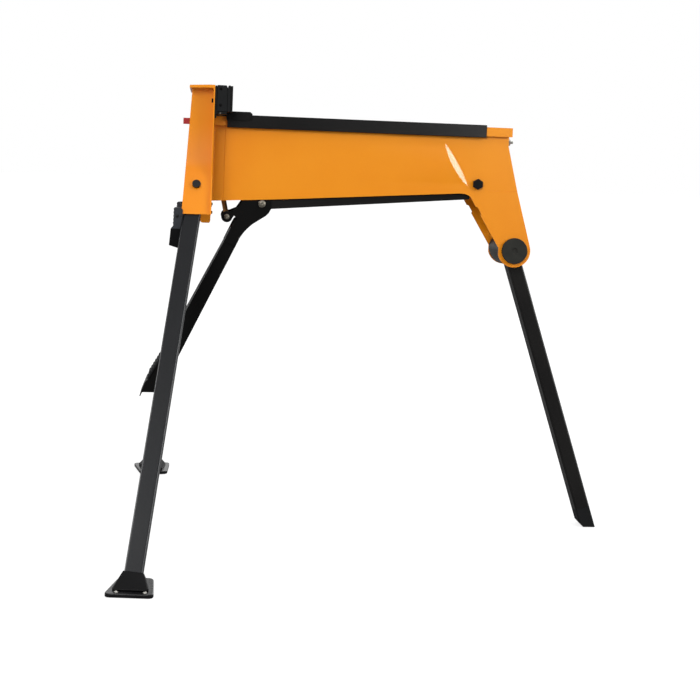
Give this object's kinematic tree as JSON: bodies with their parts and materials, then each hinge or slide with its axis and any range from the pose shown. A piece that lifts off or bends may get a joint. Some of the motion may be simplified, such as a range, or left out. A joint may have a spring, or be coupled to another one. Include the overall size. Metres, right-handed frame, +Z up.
{
  "type": "folding clamping workbench",
  "caption": "Folding workbench on splayed legs with a foot pedal that clamps a sliding jaw against a fixed jaw along a pressed-steel beam.",
  "frame": {"origin": "on the floor, under the middle of the deployed bench's bounding box", "axes": "+X from the jaw end to the rear leg, +Y across the beam, +Z up"},
  "size_m": [0.9704, 0.9522, 0.872],
  "materials": {
    "orange_paint": "satin orange powder coat",
    "black_paint": "fine black powder coat",
    "graphite_paint": "dark graphite powder coat",
    "jaw_rubber": "moulded, matt",
    "black_plastic": "moulded, fine texture",
    "red_plastic": "moulded red",
    "zinc_steel": "bright zinc"
  },
  "bodies": {
    "stand": {"front_frame": "orange_paint", "body_shell_near": "orange_paint", "body_shell_far": "orange_paint", "rear_cover": "orange_paint", "rear_cover_screw": "zinc_steel", "rear_cover_screw_far": "zinc_steel", "spine_channel": "black_paint", "fixed_jaw_plate": "black_paint", "fixed_jaw_pad": "jaw_rubber", "shell_cross_bolt": "black_paint", "shell_spacer": "zinc_steel", "pedal_pivot_bolt": "zinc_steel", "crank_pivot_pin": "zinc_steel", "rod_guide": "zinc_steel", "switch_pin": "zinc_steel", "leg_pivot_bolt_near": "black_paint", "leg_pivot_bolt_far": "black_paint", "leg_washer_near": "zinc_steel", "leg_washer_far": "zinc_steel", "catch_pin_near": "zinc_steel", "catch_pin_far": "zinc_steel", "rear_pivot_bolt": "zinc_steel", "rear_pivot_cap_near": "black_plastic", "rear_pivot_cap_far": "black_plastic"},
    "slide": {"slide_channel": "black_paint", "slide_bar": "zinc_steel", "moving_jaw_plate": "black_paint", "moving_jaw_pad": "jaw_rubber"},
    "pedal": {"pedal_lever": "black_paint", "pedal_tread": "jaw_rubber", "link_bolt": "zinc_steel"},
    "link": {"pull_link": "zinc_steel"},
    "crank": {"drive_crank": "zinc_steel", "crank_link_pin": "zinc_steel"},
    "rod": {"pull_rod": "zinc_steel", "return_spring": "zinc_steel"},
    "switch": {"lock_switch": "red_plastic"},
    "leg_near": {"front_leg_near": "graphite_paint", "foot_boot_near": "black_plastic", "foot_plate_near": "black_plastic"},
    "leg_far": {"front_leg_far": "graphite_paint", "foot_boot_far": "black_plastic", "foot_plate_far": "black_plastic"},
    "catch_near": {"leg_catch_near": "black_plastic"},
    "catch_far": {"leg_catch_far": "black_plastic"},
    "rear_leg": {"rear_leg_tube": "black_paint", "rear_leg_hub": "black_plastic", "rear_leg_end_cap": "jaw_rubber"}
  },
  "joints": [
    {"name": "jaw_slide", "type": "slide", "parent": "stand", "child": "slide", "axis": [1, 0, 0], "range_m": [0, 0.36]},
    {"name": "pedal_press", "type": "hinge", "parent": "stand", "child": "pedal", "pos_m": [-0.22864, 0, 0.6468], "axis": [0, 1, 0], "range_deg": [-26, 0], "stiffness_Nm_per_rad": 12, "springref_deg": 40.11},
    {"name": "link_swing", "type": "hinge", "parent": "pedal", "child": "link", "pos_m": [-0.29664, 0, 0.6193], "axis": [0, -1, 0], "range_deg": [-26, 0]},
    {"name": "crank_turn", "type": "hinge", "parent": "stand", "child": "crank", "pos_m": [-0.24304, 0, 0.7133], "axis": [0, -1, 0], "range_deg": [0, 26]},
    {"name": "rod_pull", "type": "slide", "parent": "stand", "child": "rod", "axis": [-1, 0, 0], "range_m": [0, 0.02]},
    {"name": "switch_rock", "type": "hinge", "parent": "stand", "child": "switch", "pos_m": [-0.35764, 0, 0.804], "axis": [0, -1, 0], "range_deg": [-10, 10]},
    {"name": "leg_fold_near", "type": "hinge", "parent": "stand", "child": "leg_near", "pos_m": [-0.35724, -0.10005, 0.67353], "axis": [0, -0.9026, 0.4305], "range_deg": [0, 96]},
    {"name": "leg_fold_far", "type": "hinge", "parent": "stand", "child": "leg_far", "pos_m": [-0.35724, 0.10005, 0.67353], "axis": [0, -0.9026, -0.4305], "range_deg": [0, 96]},
    {"name": "catch_swing_near", "type": "hinge", "parent": "stand", "child": "catch_near", "pos_m": [-0.39064, -0.132, 0.622], "axis": [0, 1, 0], "range_deg": [0, 20], "stiffness_Nm_per_rad": 0.1, "springref_deg": -20.05},
    {"name": "catch_swing_far", "type": "hinge", "parent": "stand", "child": "catch_far", "pos_m": [-0.39064, 0.132, 0.622], "axis": [0, 1, 0], "range_deg": [0, 20], "stiffness_Nm_per_rad": 0.1, "springref_deg": -20.05},
    {"name": "rear_leg_fold", "type": "hinge", "parent": "stand", "child": "rear_leg", "pos_m": [0.27976, 0, 0.57], "axis": [0, 1, 0], "range_deg": [0, 95]}
  ],
  "couplings": [
    {"joint": "link_swing", "follows": "pedal_press", "ratio": 1},
    {"joint": "crank_turn", "follows": "pedal_press", "ratio": -1},
    {"joint": "rod_pull", "follows": "pedal_press", "m_per_rad": -0.04407}
  ]
}
